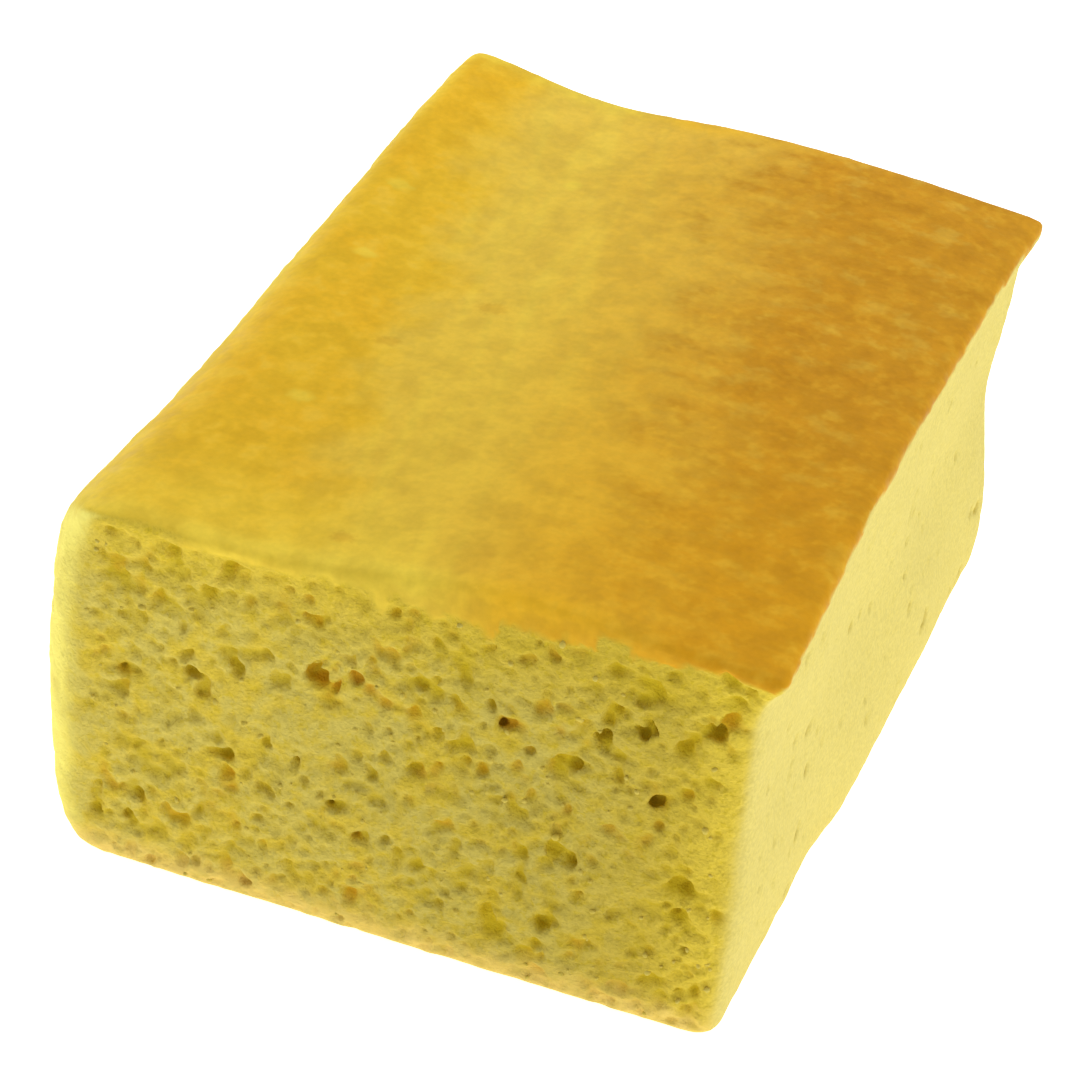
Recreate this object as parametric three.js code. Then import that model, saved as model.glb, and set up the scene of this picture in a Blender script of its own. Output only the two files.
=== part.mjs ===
// A square of cornbread, cut from the long edge of a baking pan and resting on its base.
// Millimetres, +Z up. The origin is on the base, under the middle of the piece.
// -X is the side that baked against the pan wall, with a rolled shoulder and a rounded foot.
// -Y, +X and +Y are knife cuts, where the skin on top stands a little proud of the softer crumb.

import * as THREE from "three";
import { mergeVertices } from "three/addons/utils/BufferGeometryUtils.js";

// Driving dimensions.
const WIDTH = 60;
const DEPTH = 80;
const HEIGHT = 40;
const HALF = { x: WIDTH / 2, y: DEPTH / 2, z: HEIGHT / 2 };

// Edge radii.
const SHOULDER_RADIUS = 8; // top of the pan side, at the front; it tightens towards the back
const SHOULDER_BACK_RADIUS = 2.5;
const FOOT_RADIUS = 6.5; // foot of the pan side, from the pan's bottom corner
const SOFT_EDGE_RADIUS = 6.5; // upright edge between the pan side and the front cut
const CUT_EDGE_RADIUS = 2.2; // upright and lower edges of the cuts, where the crumb has rubbed off
const SKIN_EDGE_RADIUS = 0.6; // crisp edge of the baked skin

// The skin, and how far it overhangs each cut.
const SKIN_THICKNESS = 1.3;
const UNDERCUT_HEIGHT = 1.8; // height over which the wall draws in below the skin
const OVERHANG = { right: 1.6, front: 0.4, back: 0.9 };
const TIP_SHARE = 0.75; // share of the right overhang that only the skin's two corner tips have

// How far each corner leans from the corner of a true block, as [x, y, z].
const LEANS = {
  leftFrontBase: [-1.7, -2.2, 0],
  rightFrontBase: [0, 2.2, 0],
  leftBackBase: [-0.4, 0.2, 0],
  rightBackBase: [-0.3, 0.4, 0],
  leftFrontTop: [-1.3, -2.4, -2.2],
  rightFrontTop: [-0.2, 0.1, 1],
  leftBackTop: [-0.4, 1, 2.2],
  rightBackTop: [-1.2, 0.2, 1.1],
};

// Swells and hollows. Each has a height, the place of its middle and a spread, where
// places on the block run from -1 to 1 along each axis.
const TOP_HOLLOW = { height: -1.5, at: -0.5, spread: 0.35 }; // trough along the pan side of the middle
const TOP_DOME = { height: 0.6, at: 0.45, spread: 0.5 }; // rise towards the right cut
const FRONT_RISE = { height: 0.8, at: 0.25, spread: 0.35 }; // swell where the front cut is highest
const FRONT_NOTCH = { height: 1, at: 0.25, spread: 0.35 }; // where the skin's front edge draws back
const PAN_SWELL = { height: 1.4, at: 0, spread: 0.8 }; // belly of the pan side
const WALL_BULGE = { height: 0.9, at: -0.45, spread: 0.4 }; // swell low on each cut
const WALL_HOLLOW = { height: -0.7, at: 0.15, spread: 0.3 }; // hollow above that swell

// A step in the lower edge of the right cut, where the crumb tore.
const TORN_FOOT = 0.7;
const TORN_FROM = { y: -0.3, z: -0.3 };
const TORN_FULLY_AT = { y: -0.2, z: -0.8 };

// Slow waviness of the cuts and the top.
const RIPPLE = 0.25;
const WALL_PHASE = { right: 0.4, front: 1.3, back: 5 };

// Grid of the surface, and how much its lines crowd towards the edges.
const STEPS_X = 26;
const STEPS_Y = 34;
const STEPS_Z = 18;
const CROWDING = 0.45;

const { clamp, lerp, smoothstep } = THREE.MathUtils;

const crowd = (t) => t + (CROWDING * Math.sin(Math.PI * t)) / Math.PI;
const hump = ({ height, at, spread }, t) => height * Math.exp(-(((t - at) / spread) ** 2));
const ramp = (t, from, to) => (to > from ? smoothstep(t, from, to) : smoothstep(-t, -from, -to));

// Radius of the block's edge along an axis, near a point of the block.
const edgeRadius = {
  x: (u, v, w) => (w > 0 ? SKIN_EDGE_RADIUS : CUT_EDGE_RADIUS),
  y: (u, v, w) => {
    if (u > 0) return w > 0 ? SKIN_EDGE_RADIUS : CUT_EDGE_RADIUS;
    return w > 0 ? lerp(SHOULDER_RADIUS, SHOULDER_BACK_RADIUS, ramp(v, -0.6, 0.9)) : FOOT_RADIUS;
  },
  z: (u, v, w) => {
    if (u < 0 && v < 0) return SOFT_EDGE_RADIUS;
    return lerp(CUT_EDGE_RADIUS, SKIN_EDGE_RADIUS, ramp(w, 0.7, 0.95));
  },
};

// Rounds the block's edge along one axis, by moving the point's other two coordinates.
function roundEdge(point, along, radius) {
  const across = Object.keys(HALF).filter((axis) => axis !== along);
  const past = across.map((axis) => Math.max(Math.abs(point[axis]) - (HALF[axis] - radius), 0) / radius);
  if (Math.min(...past) === 0) return;
  across.forEach((axis, i) => {
    const bent = past[i] * Math.sqrt(1 - past[1 - i] ** 2 / 2);
    point[axis] = Math.sign(point[axis]) * (HALF[axis] - radius + radius * bent);
  });
}

// Shift of the block at a point, from the leans of its eight corners.
function leanAt(u, v, w) {
  const shift = new THREE.Vector3();
  for (const [corner, lean] of Object.entries(LEANS)) {
    const alongX = corner.startsWith("left") ? (1 - u) / 2 : (1 + u) / 2;
    const alongY = corner.includes("Front") ? (1 - v) / 2 : (1 + v) / 2;
    const alongZ = corner.endsWith("Base") ? (1 - w) / 2 : (1 + w) / 2;
    shift.addScaledVector(new THREE.Vector3(...lean), alongX * alongY * alongZ);
  }
  return shift;
}

// Rise or fall of the top.
function topRelief(u, v) {
  const hollow = hump(TOP_HOLLOW, u) * lerp(0.35, 1, (1 + v) / 2);
  const dome = hump(TOP_DOME, u) * (0.7 - 0.3 * v);
  const rise = hump(FRONT_RISE, u) * ramp(v, 0, -1);
  const wave = RIPPLE * Math.sin(4.1 * u + 2.3 * v + 0.6) * Math.cos(5.2 * v - 1.1);
  return hollow + dome + rise + wave;
}

// How far a cut swells out at a height, with a slow ripple along it.
function wallRelief(along, w, phase) {
  const swell = (hump(WALL_BULGE, w) + hump(WALL_HOLLOW, w)) * (0.8 + 0.3 * Math.sin(3.1 * along + phase));
  const ripple = Math.sin(6.3 * along + phase) + Math.sin(11.7 * along + 4.3 * w - phase);
  return swell + RIPPLE * ripple * (1 - w * w);
}

// How much of the skin's overhang a height keeps: all of it in the skin, none below the undercut.
function skinShare(w) {
  const depth = (1 - w) * HALF.z;
  return 1 - ramp(depth, SKIN_THICKNESS, SKIN_THICKNESS + UNDERCUT_HEIGHT);
}

// The whole unevenness of the piece at a point, as a shift.
function unevenness(u, v, w) {
  const [right, left, back, front] = [u, -u, v, -v].map((t) => ramp(t, 0.4, 1));
  const skin = skinShare(w);
  const tips = OVERHANG.right * (1 - TIP_SHARE * (1 - v * v));
  const torn = TORN_FOOT * ramp(v, TORN_FROM.y, TORN_FULLY_AT.y) * ramp(w, TORN_FROM.z, TORN_FULLY_AT.z);
  const lip = OVERHANG.front - hump(FRONT_NOTCH, u);
  const rightOut = wallRelief(v, w, WALL_PHASE.right) + tips * skin + torn;
  const backOut = wallRelief(u, w, WALL_PHASE.back) + OVERHANG.back * skin;
  const frontOut = 0.5 * wallRelief(u, w, WALL_PHASE.front) + lip * skin;
  const x = right * rightOut - left * hump(PAN_SWELL, w);
  const y = back * backOut - front * frontOut;
  return new THREE.Vector3(x, y, (topRelief(u, v) * (1 + w)) / 2);
}

// One point of the block's faces, moved to its place on the cornbread.
function shaped(u, v, w) {
  const point = new THREE.Vector3(u * HALF.x, v * HALF.y, w * HALF.z);
  for (const axis of ["x", "z", "y"]) {
    roundEdge(point, axis, edgeRadius[axis](u, v, w));
  }
  point.z += HALF.z;
  const shift = leanAt(u, v, w).add(unevenness(u, v, w));
  shift.z *= clamp(point.z / HEIGHT, 0, 1);
  return point.add(shift);
}

function cornbreadGeometry() {
  const block = new THREE.BoxGeometry(2, 2, 2, STEPS_X, STEPS_Y, STEPS_Z);
  block.deleteAttribute("normal");
  block.deleteAttribute("uv");
  const geometry = mergeVertices(block, 1e-6);
  const position = geometry.getAttribute("position");
  for (let i = 0; i < position.count; i++) {
    const grid = [position.getX(i), position.getY(i), position.getZ(i)].map(crowd);
    position.setXYZ(i, ...shaped(...grid));
  }
  geometry.computeVertexNormals();
  geometry.computeBoundingBox();
  return geometry;
}

function bakedCrumb() {
  return new THREE.MeshStandardMaterial({ color: 0xdcb347, roughness: 0.8, metalness: 0 });
}

const cornbread = new THREE.Mesh(cornbreadGeometry(), bakedCrumb());
cornbread.name = "cornbread";
const { min, max } = cornbread.geometry.boundingBox;
cornbread.position.set(-(min.x + max.x) / 2, -(min.y + max.y) / 2, 0);

const part = new THREE.Group();
part.add(cornbread);

export default part;
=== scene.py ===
"""A square of cornbread with an open crumb and a baked skin, on a pale studio floor.

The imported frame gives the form. Its surface becomes a field of signed distance, where pores are
cut into the three knife-cut sides, and the field is meshed again as one closed piece.
"""

import math

import bmesh
import bpy
import numpy as np
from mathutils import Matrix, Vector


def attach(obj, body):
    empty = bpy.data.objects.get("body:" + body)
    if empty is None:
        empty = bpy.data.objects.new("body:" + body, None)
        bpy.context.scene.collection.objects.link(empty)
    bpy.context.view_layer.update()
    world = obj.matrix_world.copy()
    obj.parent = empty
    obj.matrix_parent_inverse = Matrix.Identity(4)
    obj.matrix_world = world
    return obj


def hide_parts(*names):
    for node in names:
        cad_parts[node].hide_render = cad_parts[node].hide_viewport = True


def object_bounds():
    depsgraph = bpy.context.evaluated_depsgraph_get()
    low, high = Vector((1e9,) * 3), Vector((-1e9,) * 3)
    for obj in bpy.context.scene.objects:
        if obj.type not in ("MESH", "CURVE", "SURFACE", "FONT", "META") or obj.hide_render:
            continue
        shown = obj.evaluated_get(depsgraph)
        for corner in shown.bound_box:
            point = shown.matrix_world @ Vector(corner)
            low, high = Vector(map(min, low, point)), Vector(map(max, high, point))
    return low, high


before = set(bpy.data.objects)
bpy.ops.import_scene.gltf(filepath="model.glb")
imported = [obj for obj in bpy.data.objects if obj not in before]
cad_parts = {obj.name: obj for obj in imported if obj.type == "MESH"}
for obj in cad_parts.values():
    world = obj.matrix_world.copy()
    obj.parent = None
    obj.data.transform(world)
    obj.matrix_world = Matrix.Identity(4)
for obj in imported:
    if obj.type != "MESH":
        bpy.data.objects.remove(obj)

import openvdb as vdb
from mathutils import Matrix, Vector

bl_info = {
    "name": "Cornbread square",
    "version": (1, 0, 0),
    "blender": (4, 5, 0),
    "location": "3D View > Sidebar > Cornbread",
    "description": "Builds the crumb, skin and loose crumbs of a cornbread square, and its studio",
    "category": "Object",
}

MM = 0.001
CAD_NODE = "cornbread"
CAD_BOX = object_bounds()
BODY = "root"

# Fixed numbers of the method, in millimetres where they are lengths.
FIELD_MARGIN = 6  # empty voxels round the piece
FIELD_REACH = 3.2  # how far from the surface the distance is kept
FIELD_ROUNDS = 2  # rounds of smoothing, which take away the facets
PORE_ROUNDS = 1  # rounds of smoothing after the pores are cut, which soften their lips
NOISE_CELLS = 32  # cells along each side of the repeating noise table
BASE_SKIN = 0.7
MAP_WIDENING = 14  # voxels by which the skin maps are widened past the skin's edges
TOP_LOWEST = 32  # lower than this is not the top
PAN_NEAREST = 24  # nearer the middle than this is not the pan side
BAND_SLANT = 0.176  # sideways drift of the skin's colour bands for each step back

# Marks on the skin: the middle and the length and width of each. The first dark spot is painted shade,
# standing in for a small pit in the skin; the others are darker and paler patches of the skin's own colour.
DARK_SPOTS = (((-9, 0), (4.2, 2.6)), ((-6, -37), (3.0, 2.0)), ((-15, -9), (3.0, 2.0)))
PALE_SPOTS = (
    ((-11, 24), (2.2, 3.2)), ((-25, 15), (3.6, 2.4)), ((-23, 3), (3.0, 2.2)), ((-18, -20), (3.2, 2.4)),
)

# What the skin's colour is multiplied by, from front to back: painted light and shade, the skin darker and
# more saturated towards the front and lighter towards the back, as if lit from behind; the last lightens the
# back edge further.
PAINTED_FRONT_SHADE = (0.94, 0.91, 0.75)
PAINTED_BACK_LIGHTENING = (1.0, 1.01, 1.15)
NO_TINT = (1, 1, 1)
BACK_EDGE_TINT = (1.06, 1.07, 1.18)

# Half the floor's side in metres, and the strength of its glow.
FLOOR_HALF = 3.0
FLOOR_GLOW = 0.85

# Where each light stands from the middle of the piece, and its side, in metres.
KEY_LIGHT = (0.30, -0.02, 0.16), 0.30
TOP_LIGHT = (0.04, 0.08, 0.40), 0.40
FILL_LIGHT = (-0.10, -0.40, 0.22), 0.40
BACK_LIGHT = (-0.30, 0.08, 0.14), 0.30


# ---------------------------------------------------------------- settings


def colour(name, description, default):
    return bpy.props.FloatVectorProperty(
        name=name, description=description, default=default, subtype="COLOR", size=3, min=0, max=1
    )


def length(name, description, default):
    return bpy.props.FloatProperty(
        name=name, description=description, default=default, min=0, unit="LENGTH", precision=5
    )


class CrumbSettings(bpy.types.PropertyGroup):
    voxel: length("Voxel", "Finest step of the meshed crumb", 0.25 * MM)
    skin: length("Skin", "Thickness of the baked skin, where no pore is cut", 1.0 * MM)
    fine_pore: length("Fine pore", "Mean radius of the fine pores", 0.29 * MM)
    middle_pore: length("Middle pore", "Mean radius of the middling pores", 0.5 * MM)
    large_pore: length("Large pore", "Mean radius of the large pores", 0.72 * MM)
    fine_density: bpy.props.FloatProperty(
        name="Fine pores", description="Fine pores per square centimetre of cut", default=72, min=0
    )
    middle_density: bpy.props.FloatProperty(
        name="Middling pores", description="Middling pores per square centimetre of cut", default=9, min=0
    )
    large_density: bpy.props.FloatProperty(
        name="Large pores", description="Large pores per square centimetre of cut", default=0.4, min=0
    )
    roughness: length("Roughness", "Height of the torn relief on the cuts", 0.12 * MM)
    swell: length("Swell", "Height of the slow relief on the skin", 0.06 * MM)
    triangles: bpy.props.IntProperty(
        name="Triangles", description="Triangles that the finished piece keeps", default=190000, min=1000
    )
    seed: bpy.props.IntProperty(name="Seed", description="Seed of everything random", default=7)


class ColourSettings(bpy.types.PropertyGroup):
    # Front crumb and side crumb are partly shaded and lit copies of one crumb: the front is painted duller,
    # as if in shade, and the right and back cuts paler, as if in stronger light; the rest is the crumb's own
    # tone
    crumb_deep: colour("Front crumb", "Crumb in the middle of the front cut", (0.60, 0.487, 0.098))
    crumb_gold: colour("Golden crumb", "Crumb just under the skin", (0.66, 0.49, 0.05))
    crumb_pale: colour("Side crumb", "Crumb of the right and back cuts", (0.785, 0.67, 0.21))
    # Painted shade: the pore colours darken the crumb with depth in the pores, where shade falls; the pore
    # colour also tints random lumps and specks on the cuts
    pore: colour("Pores", "Inside of the pores", (0.56, 0.41, 0.012))
    brown_pore_shade: colour("Shaded pores", "Inside of the browner pores", (0.58, 0.30, 0.008))
    pan_side: colour("Pan side", "Pale skin of the pan side", (0.74, 0.60, 0.17))
    pan_gold: colour("Pan side patches", "Deeper patches of the pan side", (0.71, 0.50, 0.09))
    # The base band is partly its own browned crust and partly painted light: it is painted paler and
    # brighter, as bounce light from the floor would make it
    base: colour("Base", "Browned base", (0.86, 0.64, 0.17))
    # Painted light: pale colour for the upright edge between the pan side and the front, where it turns
    # towards the left lamp
    rubbed: colour("Painted_light edge", "Pale upright edge between the pan side and the front", (0.98, 0.87, 0.20))
    skin_orange: colour("Orange skin", "Blotches along the pan side", (0.79, 0.415, 0.010))
    skin_gold: colour("Gold skin", "Skin along the pan side", (0.76, 0.445, 0.016))
    skin_yellow: colour("Yellow skin", "Palest band of the skin", (0.74, 0.485, 0.052))
    skin_tan: colour("Tan skin", "Skin between the yellow band and the brown", (0.69, 0.42, 0.042))
    skin_brown: colour("Brown skin", "Skin towards the right cut", (0.585, 0.272, 0.013))
    skin_dark: colour("Dark streaks", "Darker streaks in the brown skin", (0.50, 0.215, 0.008))
    skin_rim: colour("Skin rim", "Thin orange edge of the skin, towards the right", (0.84, 0.48, 0.02))
    skin_edge: colour("Skin edge", "Thin yellow edge of the skin", (0.84, 0.64, 0.065))


class LooseSettings(bpy.types.PropertyGroup):
    count: bpy.props.IntProperty(
        name="Crumbs", description="Crumbs clinging to the cuts", default=110, min=0
    )
    smallest: length("Smallest", "Radius of the smallest crumb", 0.2 * MM)
    largest: length("Largest", "Radius of the largest crumb", 0.34 * MM)


class StudioSettings(bpy.types.PropertyGroup):
    lens: bpy.props.FloatProperty(
        name="Lens", description="Focal length in millimetres", default=100, min=10
    )
    azimuth: bpy.props.FloatProperty(
        name="Azimuth",
        description="Turn of the camera to the right",
        default=math.radians(18.36),
        subtype="ANGLE",
    )
    elevation: bpy.props.FloatProperty(
        name="Elevation", description="Height of the camera", default=math.radians(35.59), subtype="ANGLE"
    )
    roll: bpy.props.FloatProperty(
        name="Roll",
        description="Tilt of the camera about its view",
        default=math.radians(7.07),
        subtype="ANGLE",
    )
    distance: length("Distance", "Camera to the middle of the piece", 274.7 * MM)
    aim_right: bpy.props.FloatProperty(
        name="Aim right", description="Shift of the view", default=-2.97 * MM, unit="LENGTH", precision=5
    )
    aim_up: bpy.props.FloatProperty(
        name="Aim up", description="Shift of the view", default=-1.87 * MM, unit="LENGTH", precision=5
    )
    floor: colour("Floor", "Colour of the floor", (0.96, 0.96, 0.94))
    world: bpy.props.FloatProperty(
        name="World", description="Strength of the soft light all round", default=0.35
    )
    key: bpy.props.FloatProperty(
        name="Key light", description="Power of the right light in watts", default=0.35
    )
    top: bpy.props.FloatProperty(
        name="Top light", description="Power of the top light in watts", default=0.8
    )
    fill: bpy.props.FloatProperty(
        name="Fill light", description="Power of the front light in watts", default=0.05
    )
    back: bpy.props.FloatProperty(
        name="Back light", description="Power of the left light in watts", default=0.48
    )


class CornbreadSettings(bpy.types.PropertyGroup):
    crumb: bpy.props.PointerProperty(type=CrumbSettings)
    colours: bpy.props.PointerProperty(type=ColourSettings)
    loose: bpy.props.PointerProperty(type=LooseSettings)
    studio: bpy.props.PointerProperty(type=StudioSettings)


# ---------------------------------------------------------------- numbers


def eight_corners(table, cell, part):
    """Trilinear value of a table at cells and the parts of a cell past them."""
    total = np.zeros(len(cell))
    for corner in np.ndindex(2, 2, 2):
        weight = np.prod(np.where(corner, part, 1 - part), axis=1)
        total += weight * table[tuple(((cell + corner) % table.shape).T)]
    return total


def noise(points, size, seed):
    """Smooth random values from -1 to 1, in lumps of about this size, at points."""
    table = np.random.default_rng(seed).uniform(-1, 1, (NOISE_CELLS,) * 3)
    place = points / size
    cell = np.floor(place).astype(int)
    part = place - cell
    return eight_corners(table, cell, part * part * (3 - 2 * part))


def smoothstep(value, low, high):
    t = np.clip((value - low) / (high - low), 0, 1)
    return t * t * (3 - 2 * t)


def random_turn(rng):
    """A random rotation matrix."""
    turn, _ = np.linalg.qr(rng.normal(size=(3, 3)))
    return turn * np.sign(np.linalg.det(turn))


# ---------------------------------------------------------------- the field


class DistanceField:
    """Signed distance to a closed surface on a dense grid, in millimetres, negative inside."""

    def __init__(self, points, quads, voxel):
        self.voxel = voxel
        self.first = np.floor(points.min(0) / voxel).astype(int) - FIELD_MARGIN
        last = np.ceil(points.max(0) / voxel).astype(int) + FIELD_MARGIN
        self.transform = vdb.createLinearTransform(voxelSize=voxel)
        grid = vdb.FloatGrid.createLevelSetFromPolygons(
            points, quads=quads, transform=self.transform, halfWidth=FIELD_REACH / voxel
        )
        self.values = np.zeros(last - self.first + 1, np.float32)
        grid.copyToArray(self.values, ijk=self.corner())
        for _ in range(FIELD_ROUNDS):
            self.soften()

    def corner(self):
        return tuple(int(i) for i in self.first)

    def soften(self):
        """Averages each voxel with its neighbours along each axis in turn."""
        for axis in range(3):
            v = np.moveaxis(self.values, axis, 0)
            v[1:-1] = (v[:-2] + 2 * v[1:-1] + v[2:]) / 4

    def place(self, index):
        """The point at a voxel's index."""
        return (index + self.first) * self.voxel

    def sample(self, points):
        """Distance at points."""
        place = np.clip(points / self.voxel - self.first, 0, np.array(self.values.shape) - 1.001)
        cell = np.floor(place).astype(int)
        return eight_corners(self.values, cell, place - cell)

    def slope(self, points):
        """The direction out of the piece at points."""
        steps = np.eye(3) * 2 * self.voxel
        out = np.stack([self.sample(points + s) - self.sample(points - s) for s in steps], axis=1)
        return out / np.maximum(np.linalg.norm(out, axis=1, keepdims=True), 1e-9)

    def steepness(self, index, axis):
        """How fast the distance grows along an axis at voxels: 1 on a face that looks that way."""
        step = np.eye(3, dtype=int)[axis]
        after, before = index + step, index - step
        return (self.values[tuple(after.T)] - self.values[tuple(before.T)]) / (2 * self.voxel)

    def band(self, low, high):
        """Indices of the voxels between two distances."""
        return np.argwhere((self.values > low) & (self.values < high))

    def mesh(self):
        """Points and quads of the surface where the distance is zero."""
        grid = vdb.FloatGrid(background=float(self.values.max()))
        grid.transform = self.transform
        grid.copyFromArray(self.values, ijk=self.corner())
        return grid.convertToQuads(isovalue=0.0)


class SkinMaps:
    """How far points lie below the skin on top, and behind the pan side."""

    def __init__(self, field):
        self.field = field
        self.top = self.outermost(2, 1, TOP_LOWEST)
        self.pan = self.outermost(0, -1, -PAN_NEAREST)

    def outermost(self, axis, sign, limit):
        """Where each line along an axis first meets the piece, coming from the sign's side, up to a limit.

        Lines that miss it, or meet it past the limit, take the value of the nearest line that doesn't.
        """
        lines = np.moveaxis(self.field.values, axis, 2)[:, :, ::-sign]
        hit = np.maximum(np.argmax(lines < 0, axis=2), 1)[:, :, None]
        outer, inner = (np.take_along_axis(lines, hit - n, axis=2)[:, :, 0] for n in (1, 0))
        met = (outer >= 0) & (inner < 0)
        steps = hit[:, :, 0] - 1 + np.where(met, outer / np.where(met, outer - inner, 1), 0)
        index = lines.shape[2] - 1 - steps if sign > 0 else steps
        found = sign * (index + self.field.first[axis]) * self.field.voxel
        found = np.where(met & (found > limit * sign), found, -np.inf)
        for _ in range(MAP_WIDENING):
            padded = np.pad(found, 1, constant_values=-np.inf)
            near = [padded[1:-1, 2:], padded[1:-1, :-2], padded[2:, 1:-1], padded[:-2, 1:-1]]
            found = np.where(np.isinf(found), np.max(near, axis=0), found)
        return sign * np.where(np.isinf(found), np.median(found[np.isfinite(found)]), found)

    def read(self, table, points, axes):
        """Bilinear value of a map at points."""
        first = self.field.first[list(axes)]
        place = points[:, list(axes)] / self.field.voxel - first
        place = np.clip(place, 0, np.array(table.shape) - 1.001)
        cell = np.floor(place).astype(int)
        part = place - cell
        total = np.zeros(len(points))
        for corner in np.ndindex(2, 2):
            weight = np.prod(np.where(corner, part, 1 - part), axis=1)
            total += weight * table[tuple((cell + corner).T)]
        return total

    def below_top(self, points):
        return self.read(self.top, points, (0, 1)) - points[:, 2]

    def behind_pan(self, points):
        return points[:, 0] - self.read(self.pan, points, (1, 2))


def frame_surface():
    """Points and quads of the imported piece, in millimetres, with its facets subdivided smooth."""
    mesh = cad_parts[CAD_NODE].data.copy()
    work = bmesh.new()
    work.from_mesh(mesh)
    bmesh.ops.remove_doubles(work, verts=work.verts, dist=0.01 * MM)
    work.to_mesh(mesh)
    work.free()
    model = bpy.data.objects.new("smooth_frame", mesh)
    bpy.context.scene.collection.objects.link(model)
    model.modifiers.new("smooth", "SUBSURF").levels = 1
    smooth = model.evaluated_get(bpy.context.evaluated_depsgraph_get()).to_mesh()
    points = np.empty(len(smooth.vertices) * 3)
    smooth.vertices.foreach_get("co", points)
    quads = np.empty(len(smooth.loops), np.int32)
    smooth.loops.foreach_get("vertex_index", quads)
    bpy.data.objects.remove(model)
    return points.reshape(-1, 3) / MM, quads.reshape(-1, 4).astype(np.uint32)


# ---------------------------------------------------------------- the crumb


# The holes that stand out in the front cut, as [x, height, radius] in millimetres from the base's middle.
FRONT_HOLES = (
    (-25, 6, 0.8), (-21, 9, 0.8), (-16, 22, 0.9), (-14, 16, 0.7),
    (-10, 19, 0.7), (-6, 27, 1.0), (-7, 18, 0.6),
    (3, 21, 0.7), (10, 28, 0.9), (10, 8, 1.1), (15, 9, 1.0), (16, 26, 0.8), (17, 16, 0.9), (19, 33, 1.1),
    (22, 32, 1.2), (23, 25, 0.8), (26, 17, 1.0), (26, 14, 1.0), (27, 34, 0.9), (25, 31, 1.1), (18, 30, 0.9),
)


def roughen(field, height, swell, seed):
    """Tears the cuts with lumps of several sizes, and gives the skin a slow swell."""
    index = field.band(-3 * height, 3 * height)
    index = index[(index[:, 2] > 0) & (index[:, 2] < field.values.shape[2] - 1)]
    points = field.place(index)
    upward, rightward = field.steepness(index, 2), field.steepness(index, 0)
    upright = 1 - smoothstep(np.abs(upward), 0.4, 0.85)
    level = smoothstep(upward, 0.8, 0.98)
    calm = 1 - 0.6 * smoothstep(rightward, 0.5, 0.9)
    coarse = 0.9 * noise(points, 2.6, seed) + 0.65 * noise(points, 1.1, seed + 1)
    lumps = coarse + 0.6 * noise(points, 0.6, seed + 2)
    swells = noise(points, 6, seed + 3) + 0.35 * noise(points, 2.2, seed + 4)
    shift = height * lumps * upright * calm + swell * swells * level
    field.values[tuple(index.T)] += shift.astype(np.float32)


def pore_places(field, maps, radius, density, skin, rng):
    """Centres of pores scattered over the three cuts, just under the surface."""
    index = field.band(-0.45 * radius, 0.3 * radius)
    index = index[rng.random(len(index)) < 0.35]
    points = field.place(index)
    out = field.slope(points)
    cut = (np.abs(out[:, 2]) < 0.5) & (out[:, 0] > -0.55)
    cut &= maps.below_top(points) > skin + 0.8 * radius
    cut &= maps.behind_pan(points) > skin + 0.8 * radius
    cut &= points[:, 2] > BASE_SKIN + 0.7 * radius
    points, out = points[cut], out[cut]
    openness = 1 - 0.97 * smoothstep(out[:, 0], 0.35, 0.7) - 0.3 * smoothstep(out[:, 1], 0.4, 0.8)
    patch = smoothstep(noise(points, 7.0, 91), -0.9, 0.6)
    wanted = rng.random(len(points)) < openness * (0.35 + 0.65 * patch)
    points = points[wanted]
    cut_area = (field.values.shape[1] + 2 * field.values.shape[0]) * field.values.shape[2] * field.voxel**2
    count = min(len(points), int(density * cut_area / 100))
    return points[rng.choice(len(points), count, replace=False)]


def cut_pore(field, wobble, centre, radius, rng):
    """Cuts one uneven hollow into the field."""
    stretch = radius * rng.uniform(0.6, 1.5, 3)
    reach = int(math.ceil(1.8 * radius / field.voxel)) + 1
    middle = np.round(centre / field.voxel).astype(int) - field.first
    low = np.maximum(middle - reach, 0)
    high = np.minimum(middle + reach + 1, field.values.shape)
    if np.any(high <= low):
        return
    axes = [np.arange(a, b) for a, b in zip(low, high)]
    index = np.stack(np.meshgrid(*axes, indexing="ij"), axis=-1)
    offset = (field.place(index) - centre) @ random_turn(rng) / stretch
    start = rng.integers(0, wobble.shape[0] - (high - low).max())
    uneven = wobble[tuple(slice(start, start + n) for n in high - low)]
    hollow = (1 - np.linalg.norm(offset, axis=-1) * (1 + 0.5 * uneven)) * stretch.min()
    window = field.values[low[0]:high[0], low[1]:high[1], low[2]:high[2]]
    np.maximum(window, hollow, out=window)


def open_crumb(field, maps, settings):
    """Cuts all the pores."""
    rng = np.random.default_rng(settings.seed)
    skin = settings.skin / MM
    cells = np.stack(np.meshgrid(*[np.arange(40)] * 3, indexing="ij"), axis=-1).reshape(-1, 3)
    wobble = noise(cells.astype(float), 2.7, settings.seed + 5).reshape((40,) * 3)
    kinds = (
        (settings.fine_pore / MM, settings.fine_density),
        (settings.middle_pore / MM, settings.middle_density),
        (settings.large_pore / MM, settings.large_density),
    )
    found = [(mean, pore_places(field, maps, mean, density, skin, rng)) for mean, density in kinds]
    for mean, places in found:
        for centre in places:
            cut_pore(field, wobble, centre, mean * rng.uniform(0.7, 1.3), rng)
    front = field.first[1] + np.argmax(field.values < 0, axis=1)
    for x, height, radius in FRONT_HOLES:
        i, k = (int(round(t / field.voxel)) - field.first[a] for t, a in ((x, 0), (height, 2)))
        wall = front[i, k] * field.voxel
        for _ in range(3):
            part = radius * rng.uniform(0.45, 0.75)
            shift = rng.uniform(-0.5, 0.5, 3) * radius
            centre = np.array([x, wall + 0.2 * radius, height]) + shift
            cut_pore(field, wobble, centre, part, rng)


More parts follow.
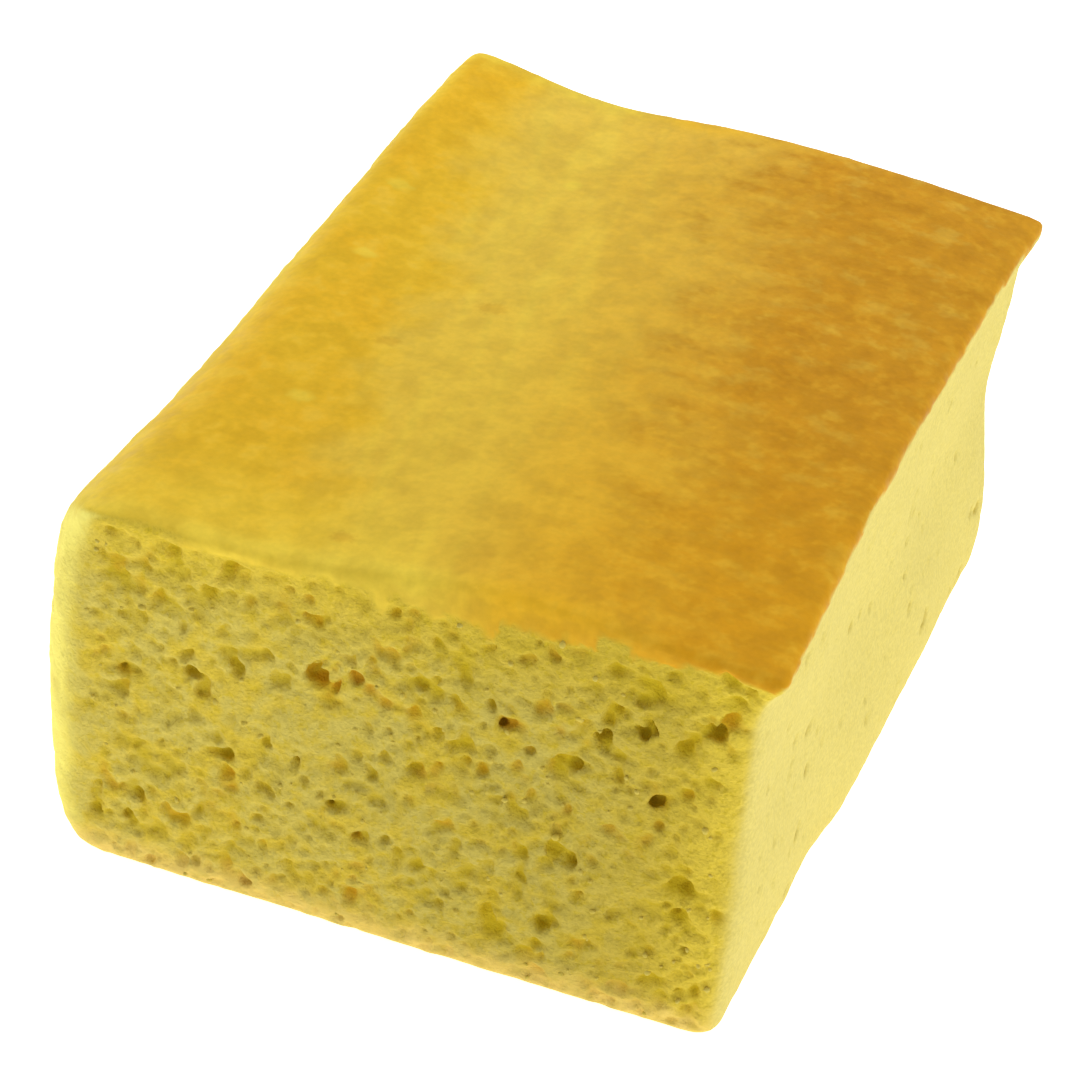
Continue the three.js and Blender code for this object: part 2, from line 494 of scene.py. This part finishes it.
def largest_island(points, quads):
    """The piece without the closed hollows and loose bits inside it."""
    label = np.arange(len(points))
    ends = np.concatenate([quads[:, [0, 1]], quads[:, [1, 2]], quads[:, [2, 3]]]).astype(np.int64)
    while True:
        least = np.minimum(label[ends[:, 0]], label[ends[:, 1]])
        before = label.copy()
        np.minimum.at(label, ends[:, 0], least)
        np.minimum.at(label, ends[:, 1], least)
        label = label[label]
        if np.array_equal(label, before):
            break
    names, sizes = np.unique(label, return_counts=True)
    kept = label == names[np.argmax(sizes)]
    renumber = np.cumsum(kept) - 1
    return points[kept], renumber[quads[kept[quads[:, 0]]]]


def volume(points, faces):
    a, b, c = (points[faces[:, i]] for i in range(3))
    return np.einsum("ij,ij->", np.cross(a, b), c) / 6


def new_piece(name, points, faces):
    """A mesh object from points in millimetres."""
    mesh = bpy.data.meshes.new(name)
    mesh.from_pydata((points * MM).tolist(), [], faces.tolist())
    mesh.update()
    piece = bpy.data.objects.new(name, mesh)
    bpy.context.scene.collection.objects.link(piece)
    return piece


def thin_out(piece, triangles):
    """Collapses the flattest edges until the piece has this many triangles, and evens its shading."""
    thin = piece.modifiers.new("thin", "DECIMATE")
    thin.ratio = min(1, triangles / (2 * len(piece.data.polygons)))
    thin.use_collapse_triangulate = True
    even = piece.modifiers.new("even", "WEIGHTED_NORMAL")
    even.keep_sharp = False
    piece.data.shade_smooth()
    result = bpy.data.meshes.new_from_object(piece.evaluated_get(bpy.context.evaluated_depsgraph_get()))
    piece.modifiers.clear()
    old = piece.data
    piece.data = result
    bpy.data.meshes.remove(old)


def mesh_points(mesh):
    """The mesh's points in millimetres."""
    points = np.empty(len(mesh.vertices) * 3)
    mesh.vertices.foreach_get("co", points)
    return points.reshape(-1, 3) / MM


def mark(mesh, name, values):
    """Stores a number at each point of the mesh, for the materials to read."""
    mesh.attributes.new(name, "FLOAT", "POINT").data.foreach_set("value", values.astype(np.float32))


# ---------------------------------------------------------------- materials


class Shader:
    """Builds a material's nodes. Numbers, colours and sockets can all be given as inputs."""

    def __init__(self, name):
        self.material = bpy.data.materials.new(name)
        self.material.use_nodes = True
        self.tree = self.material.node_tree
        self.tree.nodes.clear()
        self.place = self.add("TexCoord").outputs["Object"]
        self.grains = {}

    def add(self, kind, settings=None, inputs=None):
        made = self.tree.nodes.new("ShaderNode" + kind)
        for key, value in (settings or {}).items():
            setattr(made, key, value)
        for key, value in (inputs or {}).items():
            self.feed(made.inputs[key], value)
        return made

    def feed(self, socket, value):
        if isinstance(value, bpy.types.NodeSocket):
            self.tree.links.new(value, socket)
        elif socket.type == "RGBA" and len(value) == 3:
            socket.default_value = (*value, 1)
        else:
            socket.default_value = value

    def attribute(self, name):
        return self.add("Attribute", {"attribute_name": name}).outputs["Fac"]

    def maths(self, operation, a, b=0.0, clamp=False):
        made = self.add("Math", {"operation": operation, "use_clamp": clamp}, {0: a, 1: b})
        return made.outputs[0]

    def remap(self, value, low, high, to_low=0.0, to_high=1.0, linear=False):
        """Carries low..high to to_low..to_high. A high below the low turns the range round."""
        if high < low:
            low, high, to_low, to_high = high, low, to_high, to_low
        inputs = {"Value": value, "From Min": low, "From Max": high, "To Min": to_low, "To Max": to_high}
        kind = "LINEAR" if linear else "SMOOTHSTEP"
        return self.add("MapRange", {"interpolation_type": kind}, inputs).outputs["Result"]

    def mix(self, share, a, b, blend="MIX"):
        made = self.add("Mix", {"data_type": "RGBA", "blend_type": blend})
        self.feed(made.inputs[0], share)
        self.feed(made.inputs[6], a)
        self.feed(made.inputs[7], b)
        return made.outputs[2]

    def grain(self, size, detail=2.0, roughness=0.6, place=None):
        """Noise from 0 to 1 in lumps of this many millimetres, or of this many units of a stretched place.

        Noise of one kind is made once and shared.
        """
        key = (size, detail, roughness, place)
        if key not in self.grains:
            scale = 1 / (size * MM) if place is None else 1 / size
            inputs = {"Vector": place or self.place, "Scale": scale}
            inputs.update({"Detail": detail, "Roughness": roughness})
            self.grains[key] = self.add("TexNoise", None, inputs).outputs["Fac"]
        return self.grains[key]

    def stretched(self, size):
        """The place on the piece, measured in units of a different size along each axis."""
        scale = tuple(1 / n for n in size)
        return self.add("Mapping", None, {"Vector": self.place, "Scale": scale}).outputs["Vector"]

    def spot(self, centre, size):
        """1 at a place on the top, fading to 0 at the outline of an ellipse, both in millimetres."""
        x, y = centre
        half = tuple(n / 2 for n in size)
        settings = {"vector_type": "TEXTURE"}
        location, scale = (x * MM, y * MM, 0), (half[0] * MM, half[1] * MM, 1)
        inputs = {"Vector": self.place, "Location": location, "Scale": scale}
        local = self.add("Mapping", settings, inputs).outputs["Vector"]
        wobble = self.maths("MULTIPLY", self.maths("SUBTRACT", self.grain(0.7), 0.5), 0.9)
        distance = self.add("VectorMath", {"operation": "LENGTH"}, {0: local}).outputs["Value"]
        return self.remap(self.maths("ADD", distance, wobble), 1.0, 0.35)

    def brighten(self, shade, factor):
        grey = self.add("CombineXYZ", None, {0: factor, 1: factor, 2: factor}).outputs[0]
        return self.mix(1.0, shade, grey, "MULTIPLY")

    def ramp(self, value, stops):
        made = self.add("ValToRGB", None, {"Fac": value})
        elements = made.color_ramp.elements
        while len(elements) < len(stops):
            elements.new(0.5)
        for element, (at, shade) in zip(elements, stops):
            element.position = at
            element.color = (*shade, 1)
        return made.outputs["Color"]

    def bump(self, height, distance, strength=1.0, normal=None):
        inputs = {"Height": height, "Distance": distance * MM, "Strength": strength}
        if normal is not None:
            inputs["Normal"] = normal
        return self.add("Bump", None, inputs).outputs["Normal"]

    def finish(self, **inputs):
        surface = self.add("BsdfPrincipled", None, inputs)
        output = self.add("OutputMaterial", None, {"Surface": surface.outputs["BSDF"]})
        output.is_active_output = True
        return self.material


def skin_colour(s, colours):
    """Gold blotches along the pan side, a yellow band beside them, and brown towards the right cut."""
    place = s.add("SeparateXYZ", None, {"Vector": s.place})
    x, y = place.outputs["X"], place.outputs["Y"]
    gold, orange, yellow, tan, brown, dark, edge = (
        tuple(getattr(colours, "skin_" + name))
        for name in ("gold", "orange", "yellow", "tan", "brown", "dark", "edge")
    )
    slanted = s.maths("ADD", x, s.maths("MULTIPLY", y, BAND_SLANT))
    slow = s.maths("MULTIPLY", s.maths("SUBTRACT", s.grain(15, 1), 0.5), 12 * MM)
    quick = s.maths("MULTIPLY", s.maths("SUBTRACT", s.grain(4), 0.5), 12 * MM)
    across = s.remap(s.maths("ADD", slanted, s.maths("ADD", slow, quick)), -32 * MM, 32 * MM, linear=True)
    bands = (0.10, gold), (0.20, gold), (0.29, yellow), (0.37, yellow), (0.57, tan), (0.77, brown)
    shade = s.ramp(across, bands)

    blotch = s.remap(s.grain(6, 3), 0.44, 0.6)
    shade = s.mix(s.maths("MULTIPLY", blotch, s.remap(slanted, -13 * MM, -21 * MM, 0, 0.6)), shade, orange)
    paler = s.remap(s.grain(3), 0.54, 0.68, 0, 0.4)
    shade = s.mix(s.maths("MULTIPLY", paler, s.remap(slanted, -4 * MM, -14 * MM)), shade, yellow)
    streaks = s.grain(1, 3, place=s.stretched((3.6 * MM, 3.0 * MM, 3 * MM)))
    browned = s.remap(slanted, 0, 12 * MM)
    shade = s.mix(s.maths("MULTIPLY", s.remap(streaks, 0.52, 0.70, 0, 0.5), browned), shade, tan)
    shade = s.mix(s.maths("MULTIPLY", s.remap(streaks, 0.48, 0.3, 0, 0.6), browned), shade, dark)
    along = s.add("CombineXYZ", None, {"X": slanted, "Y": s.maths("MULTIPLY", y, 0.12)}).outputs[0]
    drawn = s.add("TexNoise", None, {"Vector": along, "Scale": 1 / (2.4 * MM), "Detail": 1}).outputs["Fac"]
    in_band = s.maths("MULTIPLY", s.remap(slanted, -20 * MM, -13 * MM), s.remap(slanted, 6 * MM, -2 * MM))
    shade = s.mix(s.maths("MULTIPLY", s.remap(drawn, 0.46, 0.68, 0, 0.24), in_band), shade, edge)
    corner = s.maths("MULTIPLY", s.remap(y, 14 * MM, 36 * MM, 0, 0.6), s.remap(x, -17 * MM, -25 * MM))
    shade = s.mix(corner, shade, orange)
    ledge = s.maths("MULTIPLY", s.remap(y, -28 * MM, -38 * MM, 0, 0.45), s.remap(slanted, -2 * MM, -10 * MM))
    shade = s.mix(ledge, shade, edge)
    front = s.remap(y, 5 * MM, -38 * MM, 0, 0.35)
    shade = s.mix(s.maths("MULTIPLY", front, s.remap(slanted, -4 * MM, 6 * MM)), shade, orange)
    # Painted light: the skin is darkened towards the front and lightened towards the back
    shade = s.mix(1.0, shade, s.mix(s.remap(y, -38 * MM, 30 * MM), PAINTED_FRONT_SHADE, PAINTED_BACK_LIGHTENING), "MULTIPLY")
    shade = s.mix(1.0, shade, s.mix(s.remap(y, 26 * MM, 40 * MM), NO_TINT, BACK_EDGE_TINT), "MULTIPLY")

    # The first dark spot is painted shade in place of a small pit; the rest are patches of the skin's own
    # colour
    for spots, strength, tint in ((DARK_SPOTS, 0.35, dark), (PALE_SPOTS, 0.5, edge)):
        for centre, size in spots:
            shade = s.mix(s.maths("MULTIPLY", s.spot(centre, size), strength), shade, tint)
    rim = s.maths("MULTIPLY", s.attribute("rim"), s.remap(slanted, 20 * MM, 0, 0.05, 0.75))
    rim_shade = s.mix(s.remap(slanted, -6 * MM, 3 * MM), edge, tuple(colours.skin_rim))
    shade = s.mix(s.maths("MULTIPLY", rim, s.remap(s.grain(3), 0.3, 0.6, 0.55, 1)), shade, rim_shade)
    shade = s.mix(s.remap(s.grain(1.5), 0.5, 0.7, 0, 0.16), shade, yellow)
    shade = s.brighten(shade, s.remap(s.grain(3), 0.32, 0.68, 0.93, 1.05))
    return s.brighten(shade, s.remap(s.grain(0.7), 0.3, 0.7, 0.96, 1.03))


def crumb_colour(s, colours):
    """Gold just under the skin, duller in the middle, palest on the right and back cuts, which is partly
    painted light. Painted shade darkens the crumb towards the right and in the pores, and a painted
    highlight lies along the right edge.
    """
    names = ("crumb_deep", "crumb_gold", "crumb_pale", "pore", "brown_pore_shade")
    deep, gold, pale, pore, brown_pore_shade = (tuple(getattr(colours, name)) for name in names)
    place = s.add("SeparateXYZ", None, {"Vector": s.place})
    near_skin = s.remap(place.outputs["Z"], 28 * MM, 38 * MM)
    near_right = s.remap(place.outputs["X"], 12 * MM, 27 * MM, 0, 0.8)
    patches = s.remap(s.grain(3), 0.42, 0.66, 0, 0.8)
    golden = s.maths("MAXIMUM", s.maths("MAXIMUM", near_skin, near_right), patches)
    ground = s.mix(golden, deep, gold)
    # Painted light: the right and back cuts are painted paler, as if in the stronger light there
    ground = s.mix(s.attribute("pale_cut"), ground, pale)
    lumps = s.remap(s.grain(1.5), 0.38, 0.68, 0, 0.26)
    not_pale = s.remap(s.attribute("pale_cut"), 0, 1, 1, 0.2)
    ground = s.mix(s.maths("MULTIPLY", lumps, not_pale), ground, pore)
    # Painted highlight: the front cut is painted yellower and brighter near its right edge, where the edge
    # turns towards the key light
    painted_right_edge_light = s.maths("MULTIPLY", s.remap(place.outputs["X"], 23 * MM, 29 * MM, 0, 0.7), not_pale)
    ground = s.mix(painted_right_edge_light, ground, tuple(colours.skin_edge))
    specks = s.maths("MULTIPLY", s.remap(s.grain(0.7), 0.54, 0.66, 0, 0.4), not_pale)
    ground = s.mix(specks, ground, pore)
    ground = s.brighten(ground, s.remap(s.grain(0.34), 0.32, 0.68, 0.93, 1.06))
    # Painted shade: the crumb is darkened towards the right, from 1.05 on the left to 0.86 on the right
    ground = s.brighten(ground, s.remap(place.outputs["X"], -22 * MM, 24 * MM, 1.05, 0.86))
    # Painted shade in the pores: the colour darkens with depth below the uncut surface, olive in some
    # patches and browner in others
    hollow = s.mix(s.remap(s.grain(6, 3), 0.5, 0.68), pore, brown_pore_shade)
    return s.mix(s.remap(s.attribute("depth"), 0.12, 0.9, 0, 0.9), ground, hollow)


def bread_material(colours):
    """Crumb on the cuts, smooth skin on top, pale matte skin on the pan side, a browned base partly painted
    with bounce light from the floor, and painted light on the left upright edge.
    """
    s = Shader("baked_bread")
    skin, pan, base = s.attribute("skin"), s.attribute("pan"), s.attribute("base")
    shade = crumb_colour(s, colours)
    height = s.add("SeparateXYZ", None, {"Vector": s.place}).outputs["Z"]
    pale = s.mix(s.remap(s.grain(4), 0.36, 0.68), tuple(colours.pan_side), tuple(colours.pan_gold))
    # The base colour at the foot of the pan side: browned crust, partly painted bounce light
    pale = s.mix(s.remap(height, 9 * MM, 1 * MM, 0, 0.6), pale, tuple(colours.base))
    pale = s.mix(s.remap(height, 30 * MM, 38 * MM, 0, 0.7), pale, tuple(colours.skin_edge))
    pale = s.brighten(pale, s.remap(s.grain(0.7), 0.3, 0.7, 0.93, 1.04))
    shade = s.mix(s.maths("MULTIPLY", pan, 0.9), shade, pale)
    # Painted light along the upright edge between the pan side and the front, where the surface turns
    # towards the left lamp
    rubbed = s.maths("MULTIPLY", s.attribute("rubbed"), s.remap(s.grain(3), 0.35, 0.6, 0.6, 0.95))
    shade = s.mix(rubbed, shade, tuple(colours.rubbed))
    # Browned base band, partly painted light: painted brighter where bounce light from the floor falls on
    # the lowest millimetres
    browned = s.maths("MULTIPLY", base, s.remap(s.grain(1.5), 0.3, 0.6, 0.5, 1.0))
    shade = s.mix(browned, shade, tuple(colours.base))
    shade = s.mix(skin, shade, skin_colour(s, colours))
    rough_crumb = s.remap(s.grain(0.7), 0.3, 0.7, 0.8, 0.98)
    rough_skin = s.remap(s.grain(1.5), 0.3, 0.7, 0.5, 0.72)
    roughness = s.add("Mix", {"data_type": "FLOAT"}, {0: skin, 2: rough_crumb, 3: rough_skin}).outputs[0]
    granules, pebbles = s.grain(0.34), s.grain(1.5)
    calmer = s.remap(s.attribute("pale_cut"), 0, 1, 1, 0.35)
    rough_part = s.maths("MULTIPLY", s.remap(skin, 0, 1, 1, 0), calmer)
    grit = s.maths("MULTIPLY", s.maths("SUBTRACT", granules, 0.5), rough_part)
    dimples = s.maths("MULTIPLY", s.maths("SUBTRACT", pebbles, 0.5), s.maths("MULTIPLY", skin, 0.4))
    normal = s.bump(s.maths("ADD", grit, dimples), 0.2)
    return s.finish(
        **{
            "Base Color": shade,
            "Roughness": roughness,
            "Normal": normal,
            "Specular IOR Level": 0.06,
        }
    )


def floor_material(shade, glow):
    """A pale matte floor that glows a little, so that shadows stay faint."""
    s = Shader("studio_floor")
    paper = s.remap(s.grain(1.5, 3), 0.3, 0.7, 0.85, 0.95)
    return s.finish(
        **{
            "Base Color": shade,
            "Roughness": paper,
            "Normal": s.bump(s.grain(0.8, 2), 0.01),
            "Specular IOR Level": 0.1,
            "Emission Color": shade,
            "Emission Strength": glow,
        }
    )


# ---------------------------------------------------------------- operators


class CORNBREAD_OT_studio(bpy.types.Operator):
    """Makes the floor, the soft lights and the camera"""

    bl_idname = "cornbread.studio"
    bl_label = "Studio"

    def execute(self, context):
        settings = context.scene.cornbread.studio
        self.make_floor(settings)
        self.make_lights(context.scene, settings)
        self.make_camera(context.scene, settings)
        context.scene.view_settings.view_transform = "Standard"
        return {"FINISHED"}

    def make_floor(self, settings):
        mesh = bpy.data.meshes.new("floor")
        half = FLOOR_HALF
        corners = [(-half, -half, 0), (half, -half, 0), (half, half, 0), (-half, half, 0)]
        mesh.from_pydata(corners, [], [(0, 1, 2, 3)])
        floor = bpy.data.objects.new("floor", mesh)
        bpy.context.scene.collection.objects.link(floor)
        mesh.materials.append(floor_material(tuple(settings.floor), FLOOR_GLOW))

    def make_lights(self, scene, settings):
        world = bpy.data.worlds.new("soft_white")
        world.use_nodes = True
        background = world.node_tree.nodes["Background"]
        background.inputs["Color"].default_value = (1, 1, 1, 1)
        background.inputs["Strength"].default_value = settings.world
        scene.world = world
        middle = (CAD_BOX[0] + CAD_BOX[1]) / 2
        lights = (
            ("key_light", *KEY_LIGHT, settings.key),
            ("top_light", *TOP_LIGHT, settings.top),
            ("fill_light", *FILL_LIGHT, settings.fill),
            ("back_light", *BACK_LIGHT, settings.back),
        )
        for name, offset, size, power in lights:
            data = bpy.data.lights.new(name, "AREA")
            data.size = size
            data.energy = power
            light = bpy.data.objects.new(name, data)
            light.location = middle + Vector(offset)
            light.rotation_euler = (-Vector(offset)).to_track_quat("-Z", "Y").to_euler()
            scene.collection.objects.link(light)

    def make_camera(self, scene, settings):
        azimuth, elevation = settings.azimuth, settings.elevation
        flat = math.cos(elevation)
        back = Vector((math.sin(azimuth) * flat, -math.cos(azimuth) * flat, math.sin(elevation)))
        level_right = Vector((0, 0, 1)).cross(back).normalized()
        level_up = back.cross(level_right)
        right = math.cos(settings.roll) * level_right + math.sin(settings.roll) * level_up
        up = back.cross(right)
        camera = bpy.data.objects.new("camera", bpy.data.cameras.new("camera"))
        middle = Vector((0.75 * MM, 0.34 * MM, 20 * MM))
        aim = middle + right * settings.aim_right + up * settings.aim_up
        turn = Matrix((right, up, back)).transposed().to_4x4()
        camera.matrix_world = Matrix.Translation(aim + back * settings.distance) @ turn
        camera.data.lens = settings.lens
        camera.data.clip_start = 10 * MM
        camera.data.clip_end = 20
        scene.collection.objects.link(camera)
        scene.camera = camera


class CORNBREAD_OT_bread(bpy.types.Operator):
    """Makes the piece of cornbread, with its pores, skin and browned base, whose colour is partly painted
    bounce light
    """

    bl_idname = "cornbread.bread"
    bl_label = "Cornbread"

    def execute(self, context):
        settings = context.scene.cornbread.crumb
        skin = settings.skin / MM
        points, quads = frame_surface()
        whole = DistanceField(points, quads, settings.voxel / MM)
        maps = SkinMaps(whole)
        opened = DistanceField(points, quads, settings.voxel / MM)
        open_crumb(opened, maps, settings)
        for _ in range(PORE_ROUNDS):
            opened.soften()
        roughen(opened, settings.roughness / MM, settings.swell / MM, settings.seed)
        points, quads = largest_island(*opened.mesh())
        if volume(points, quads) < 0:
            quads = quads[:, ::-1]
        piece = new_piece("cornbread_piece", points, quads)
        thin_out(piece, settings.triangles)
        self.mark_zones(piece.data, whole, maps, skin)
        piece.data.materials.append(bread_material(context.scene.cornbread.colours))
        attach(piece, BODY)
        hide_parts(CAD_NODE)
        return {"FINISHED"}

    def rim(self, whole, points):
        """1 along the outline of the skin, fading to 0 a little way inside it."""
        inside = -whole.sample(points - (0, 0, 2.4))
        return 1 - smoothstep(inside, 0.6, 3.2)

    def mark_zones(self, mesh, whole, maps, skin):
        points = mesh_points(mesh)
        out = whole.slope(points)
        ragged = 0.25 * noise(points, 1.4, 31) + 0.12 * noise(points, 0.5, 32)
        below = maps.below_top(points) + ragged
        behind = maps.behind_pan(points)
        thickness = skin * (1 - 0.6 * smoothstep(out[:, 0], 0.2, 0.7))
        crust = 1 - smoothstep(below, 0.6 * thickness, 1.1 * thickness)
        shoulder = smoothstep(out[:, 2] + 0.3 * ragged, 0.45, 0.85) * (points[:, 2] > 20)
        near_pan = 1 - smoothstep(behind, 6, 9)
        mark(mesh, "skin", crust * (1 - near_pan) + shoulder * near_pan)
        mark(mesh, "rim", self.rim(whole, points) * (points[:, 2] > 20))
        leftward = -out[:, 0] + 0.3 * ragged
        mark(mesh, "pan", smoothstep(leftward, 0.5, 0.9))
        # Painted light: a pale strip where the surface turns left and towards the front, standing in for the
        # left lamp's light on the rounded upright edge
        turning = smoothstep(leftward, 0.05, 0.55) * smoothstep(-out[:, 1], 0.05, 0.45)
        mark(mesh, "rubbed", turning * (1 - smoothstep(np.abs(out[:, 2]), 0.3, 0.7)))
        # The cuts facing right, and half as much those facing back, which are painted paler as if more
        # brightly lit
        pale_cut = np.maximum(smoothstep(out[:, 0], 0.35, 0.95), 0.55 * smoothstep(out[:, 1], 0.35, 0.95))
        # The lowest few millimetres of the front and pan side: browned crust, partly painted with bounce
        # light from the floor
        mark(mesh, "base", (1 - smoothstep(points[:, 2] + 2.8 * ragged, 0.8, 5.2)) * (1 - 0.85 * pale_cut))
        mark(mesh, "pale_cut", pale_cut)
        mark(mesh, "depth", -whole.sample(points))


class CORNBREAD_OT_loose_crumbs(bpy.types.Operator):
    """Makes the crumbs that cling to the cuts, as one joined mesh"""

    bl_idname = "cornbread.loose_crumbs"
    bl_label = "Loose crumbs"

    def execute(self, context):
        settings = context.scene.cornbread.loose
        rng = np.random.default_rng(context.scene.cornbread.crumb.seed + 11)
        bread = bpy.data.objects["cornbread_piece"].data
        points = mesh_points(bread)
        names = ("skin", "pan", "rubbed", "depth", "pale_cut")
        skin, pan, rubbed, depth, pale = (self.read(bread, name) for name in names)
        # No crumbs on the skin, the pan side or the painted light of the left upright edge
        bare = (skin < 0.1) & (pan < 0.1) & (rubbed < 0.1)
        bare &= (depth < 0.25) & (pale < 0.3) & (points[:, 2] > 1.5)
        spots = rng.choice(np.flatnonzero(bare), settings.count, replace=False)
        ball = self.ball()
        all_points, all_faces = [], []
        for spot in spots:
            radius = rng.uniform(settings.smallest, settings.largest) / MM * rng.uniform(0.6, 1)
            grain = self.lump(ball[0], radius, rng) + points[spot]
            all_faces.append(ball[1] + sum(len(p) for p in all_points))
            all_points.append(grain)
        piece = new_piece("loose_crumbs", np.concatenate(all_points), np.concatenate(all_faces))
        piece.data.shade_smooth()
        mark(piece.data, "pale_cut", np.repeat(pale[spots], len(ball[0])))
        piece.data.materials.append(self.material(context.scene.cornbread.colours))
        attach(piece, BODY)
        return {"FINISHED"}

    def read(self, mesh, name):
        values = np.empty(len(mesh.vertices), np.float32)
        mesh.attributes[name].data.foreach_get("value", values)
        return values

    def ball(self):
        work = bmesh.new()
        bmesh.ops.create_icosphere(work, subdivisions=2, radius=1)
        points = np.array([v.co for v in work.verts])
        faces = np.array([[v.index for v in f.verts] for f in work.faces])
        work.free()
        return points, faces

    def lump(self, ball, radius, rng):
        """A ball pressed and dented into a crumb."""
        dents = 1 + 0.3 * noise(ball + rng.uniform(0, 20, 3), 0.8, 3)
        stretched = ball * dents[:, None] * rng.uniform(0.65, 1.2, 3)
        return stretched @ random_turn(rng) * radius

    def material(self, colours):
        s = Shader("loose_crumb")
        # Painted light: crumbs on the right and back cuts take the paler crumb colour, as if more brightly
        # lit
        ground = s.mix(s.attribute("pale_cut"), tuple(colours.crumb_deep), tuple(colours.crumb_pale))
        shade = s.mix(s.remap(s.grain(1.5, 3), 0.35, 0.7, 0.0, 0.4), ground, tuple(colours.crumb_gold))
        return s.finish(
            **{
                "Base Color": shade,
                "Roughness": s.remap(s.grain(0.4, 3), 0.3, 0.7, 0.75, 0.95),
                "Normal": s.bump(s.grain(0.22, 3), 0.03),
                "Specular IOR Level": 0.06,
            }
        )


class CORNBREAD_PT_panel(bpy.types.Panel):
    """Lists the settings and the steps"""

    bl_label = "Cornbread square"
    bl_idname = "CORNBREAD_PT_panel"
    bl_space_type = "VIEW_3D"
    bl_region_type = "UI"
    bl_category = "Cornbread"

    def draw(self, context):
        settings = context.scene.cornbread
        for group in (settings.studio, settings.crumb, settings.colours, settings.loose):
            box = self.layout.box()
            for name in group.__annotations__:
                box.prop(group, name)
        for operator in OPERATORS:
            self.layout.operator(operator.bl_idname)


OPERATORS = (CORNBREAD_OT_studio, CORNBREAD_OT_bread, CORNBREAD_OT_loose_crumbs)
GROUPS = (CrumbSettings, ColourSettings, LooseSettings, StudioSettings, CornbreadSettings)
CLASSES = (*GROUPS, *OPERATORS, CORNBREAD_PT_panel)


def register():
    for each in CLASSES:
        bpy.utils.register_class(each)
    bpy.types.Scene.cornbread = bpy.props.PointerProperty(type=CornbreadSettings)


def unregister():
    del bpy.types.Scene.cornbread
    for each in reversed(CLASSES):
        bpy.utils.unregister_class(each)


def main():
    register()
    bpy.ops.cornbread.studio()
    bpy.ops.cornbread.bread()
    bpy.ops.cornbread.loose_crumbs()


if __name__ == "__main__":
    main()
